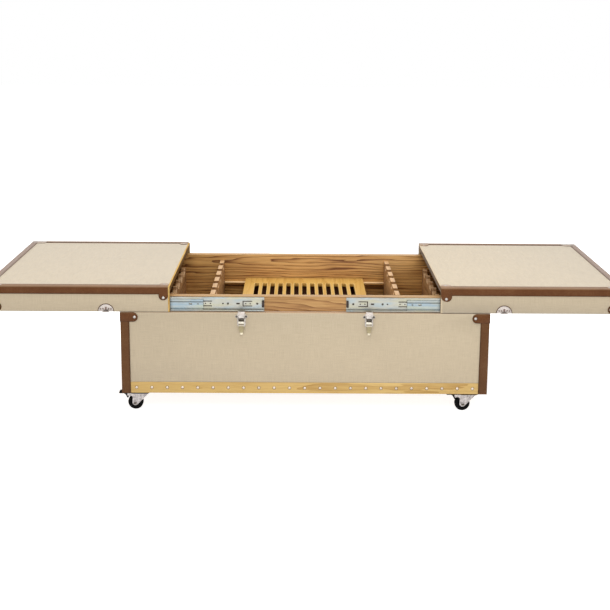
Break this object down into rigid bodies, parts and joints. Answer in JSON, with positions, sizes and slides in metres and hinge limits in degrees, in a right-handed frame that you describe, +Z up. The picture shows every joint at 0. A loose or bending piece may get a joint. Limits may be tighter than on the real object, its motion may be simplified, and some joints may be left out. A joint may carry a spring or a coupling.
{
  "type": "ice bucket coffee table",
  "caption": "Low trunk-shaped coffee table on swivel casters, with two half lids that slide apart over an ice bucket under a slatted grate and scalloped bottle bays.",
  "frame": {"origin": "on the floor, in the middle of the open table's footprint", "axes": "+X along the length, to the right as seen from the front; +Y to the back; +Z up. The latches are on the -Y side."},
  "size_m": [2.084, 0.6644, 0.429],
  "materials": {
    "canvas_panel": "plywood covered in woven canvas",
    "leather": "waxed, stitched edge",
    "oak": "satin lacquer",
    "cradle_wood": "satin lacquer",
    "grate_wood": "satin lacquer",
    "pine_rail": "satin lacquer",
    "plywood": "bare",
    "slide_zinc": "bright zinc",
    "caster_zinc": "bright zinc",
    "caster_plate": "black paint",
    "nickel": "polished nickel",
    "bucket_steel": "bronzed, satin",
    "tyre": "matte",
    "pedal_plastic": "matte"
  },
  "bodies": {
    "trunk": {"plinth_frame": "pine_rail", "trunk_floor": "plywood", "trunk_walls": "canvas_panel", "liner_front": "oak", "liner_back": "oak", "liner_left": "oak", "liner_right": "oak", "divider_left": "cradle_wood", "bottle_rack_left": "cradle_wood", "latch_left_base": "nickel", "corner_leather_front_left": "leather", "corner_leather_back_left": "leather", "slide_outer_front_left": "slide_zinc", "slide_outer_back_left": "slide_zinc", "caster_front_left_plate": "caster_plate", "caster_back_left_plate": "caster_plate", "divider_right": "cradle_wood", "bottle_rack_right": "cradle_wood", "latch_right_base": "nickel", "corner_leather_front_right": "leather", "corner_leather_back_right": "leather", "slide_outer_front_right": "slide_zinc", "slide_outer_back_right": "slide_zinc", "caster_front_right_plate": "caster_plate", "caster_back_right_plate": "caster_plate"},
    "left_lid": {"lid_left_shell": "canvas_panel", "lid_left_lipping": "oak", "lid_left_leather": "leather", "keeper_left": "nickel", "slide_inner_front_left": "slide_zinc", "slide_inner_back_left": "slide_zinc"},
    "left_slide_middles": {"slide_middle_front_left": "slide_zinc", "slide_middle_back_left": "slide_zinc"},
    "left_latch_lever": {"latch_left_lever": "nickel"},
    "left_latch_claw": {"latch_left_claw": "nickel"},
    "right_lid": {"lid_right_shell": "canvas_panel", "lid_right_lipping": "oak", "lid_right_leather": "leather", "keeper_right": "nickel", "slide_inner_front_right": "slide_zinc", "slide_inner_back_right": "slide_zinc"},
    "right_slide_middles": {"slide_middle_front_right": "slide_zinc", "slide_middle_back_right": "slide_zinc"},
    "right_latch_lever": {"latch_right_lever": "nickel"},
    "right_latch_claw": {"latch_right_claw": "nickel"},
    "ice_bucket": {"ice_bucket": "bucket_steel"},
    "grate": {"grate": "grate_wood"},
    "caster_front_left": {"caster_front_left_fork": "caster_zinc"},
    "wheel_front_left": {"caster_front_left_wheel": "tyre"},
    "pedal_front_left": {"caster_front_left_pedal": "pedal_plastic"},
    "caster_back_left": {"caster_back_left_fork": "caster_zinc"},
    "wheel_back_left": {"caster_back_left_wheel": "tyre"},
    "pedal_back_left": {"caster_back_left_pedal": "pedal_plastic"},
    "caster_front_right": {"caster_front_right_fork": "caster_zinc"},
    "wheel_front_right": {"caster_front_right_wheel": "tyre"},
    "pedal_front_right": {"caster_front_right_pedal": "pedal_plastic"},
    "caster_back_right": {"caster_back_right_fork": "caster_zinc"},
    "wheel_back_right": {"caster_back_right_wheel": "tyre"},
    "pedal_back_right": {"caster_back_right_pedal": "pedal_plastic"}
  },
  "joints": [
    {"name": "left_lid_slide", "type": "slide", "parent": "trunk", "child": "left_lid", "axis": [-1, 0, 0], "range_m": [-0.44, 0]},
    {"name": "left_middles_slide", "type": "slide", "parent": "trunk", "child": "left_slide_middles", "axis": [-1, 0, 0], "range_m": [-0.191, 0]},
    {"name": "left_latch_lever_hinge", "type": "hinge", "parent": "trunk", "child": "left_latch_lever", "pos_m": [-0.208, -0.32495, 0.315], "axis": [-1, 0, 0], "range_deg": [0, 100]},
    {"name": "left_latch_claw_hinge", "type": "hinge", "parent": "left_latch_lever", "child": "left_latch_claw", "pos_m": [-0.208, -0.33095, 0.312], "axis": [-1, 0, 0], "range_deg": [-100, 0]},
    {"name": "right_lid_slide", "type": "slide", "parent": "trunk", "child": "right_lid", "axis": [1, 0, 0], "range_m": [-0.44, 0]},
    {"name": "right_middles_slide", "type": "slide", "parent": "trunk", "child": "right_slide_middles", "axis": [1, 0, 0], "range_m": [-0.191, 0]},
    {"name": "right_latch_lever_hinge", "type": "hinge", "parent": "trunk", "child": "right_latch_lever", "pos_m": [0.208, -0.32495, 0.315], "axis": [-1, 0, 0], "range_deg": [0, 100]},
    {"name": "right_latch_claw_hinge", "type": "hinge", "parent": "right_latch_lever", "child": "right_latch_claw", "pos_m": [0.208, -0.33095, 0.312], "axis": [-1, 0, 0], "range_deg": [-100, 0]},
    {"name": "ice_bucket_lift", "type": "slide", "parent": "trunk", "child": "ice_bucket", "axis": [0, 0, 1], "range_m": [0, 0.3]},
    {"name": "grate_lift", "type": "slide", "parent": "ice_bucket", "child": "grate", "axis": [0, 0, 1], "range_m": [0, 0.12]},
    {"name": "caster_front_left_swivel", "type": "hinge", "parent": "trunk", "child": "caster_front_left", "pos_m": [-0.544, -0.28825, 0.06], "axis": [0, 0, 1], "continuous": true},
    {"name": "caster_front_left_roll", "type": "hinge", "parent": "caster_front_left", "child": "wheel_front_left", "pos_m": [-0.562, -0.28825, 0.025], "axis": [0, 1, 0], "continuous": true},
    {"name": "caster_front_left_brake", "type": "hinge", "parent": "caster_front_left", "child": "pedal_front_left", "pos_m": [-0.583, -0.28825, 0.052], "axis": [0, -1, 0], "range_deg": [0, 12]},
    {"name": "caster_back_left_swivel", "type": "hinge", "parent": "trunk", "child": "caster_back_left", "pos_m": [-0.544, 0.29875, 0.06], "axis": [0, 0, 1], "continuous": true},
    {"name": "caster_back_left_roll", "type": "hinge", "parent": "caster_back_left", "child": "wheel_back_left", "pos_m": [-0.562, 0.29875, 0.025], "axis": [0, 1, 0], "continuous": true},
    {"name": "caster_back_left_brake", "type": "hinge", "parent": "caster_back_left", "child": "pedal_back_left", "pos_m": [-0.583, 0.29875, 0.052], "axis": [0, -1, 0], "range_deg": [0, 12]},
    {"name": "caster_front_right_swivel", "type": "hinge", "parent": "trunk", "child": "caster_front_right", "pos_m": [0.544, -0.28825, 0.06], "axis": [0, 0, 1], "continuous": true},
    {"name": "caster_front_right_roll", "type": "hinge", "parent": "caster_front_right", "child": "wheel_front_right", "pos_m": [0.526, -0.28825, 0.025], "axis": [0, 1, 0], "continuous": true},
    {"name": "caster_front_right_brake", "type": "hinge", "parent": "caster_front_right", "child": "pedal_front_right", "pos_m": [0.505, -0.28825, 0.052], "axis": [0, -1, 0], "range_deg": [0, 12]},
    {"name": "caster_back_right_swivel", "type": "hinge", "parent": "trunk", "child": "caster_back_right", "pos_m": [0.544, 0.29875, 0.06], "axis": [0, 0, 1], "continuous": true},
    {"name": "caster_back_right_roll", "type": "hinge", "parent": "caster_back_right", "child": "wheel_back_right", "pos_m": [0.526, 0.29875, 0.025], "axis": [0, 1, 0], "continuous": true},
    {"name": "caster_back_right_brake", "type": "hinge", "parent": "caster_back_right", "child": "pedal_back_right", "pos_m": [0.505, 0.29875, 0.052], "axis": [0, -1, 0], "range_deg": [0, 12]}
  ],
  "couplings": [
    {"joint": "left_middles_slide", "follows": "left_lid_slide", "ratio": 0.434},
    {"joint": "left_latch_claw_hinge", "follows": "left_latch_lever_hinge", "ratio": -1},
    {"joint": "right_middles_slide", "follows": "right_lid_slide", "ratio": 0.434},
    {"joint": "right_latch_claw_hinge", "follows": "right_latch_lever_hinge", "ratio": -1}
  ]
}
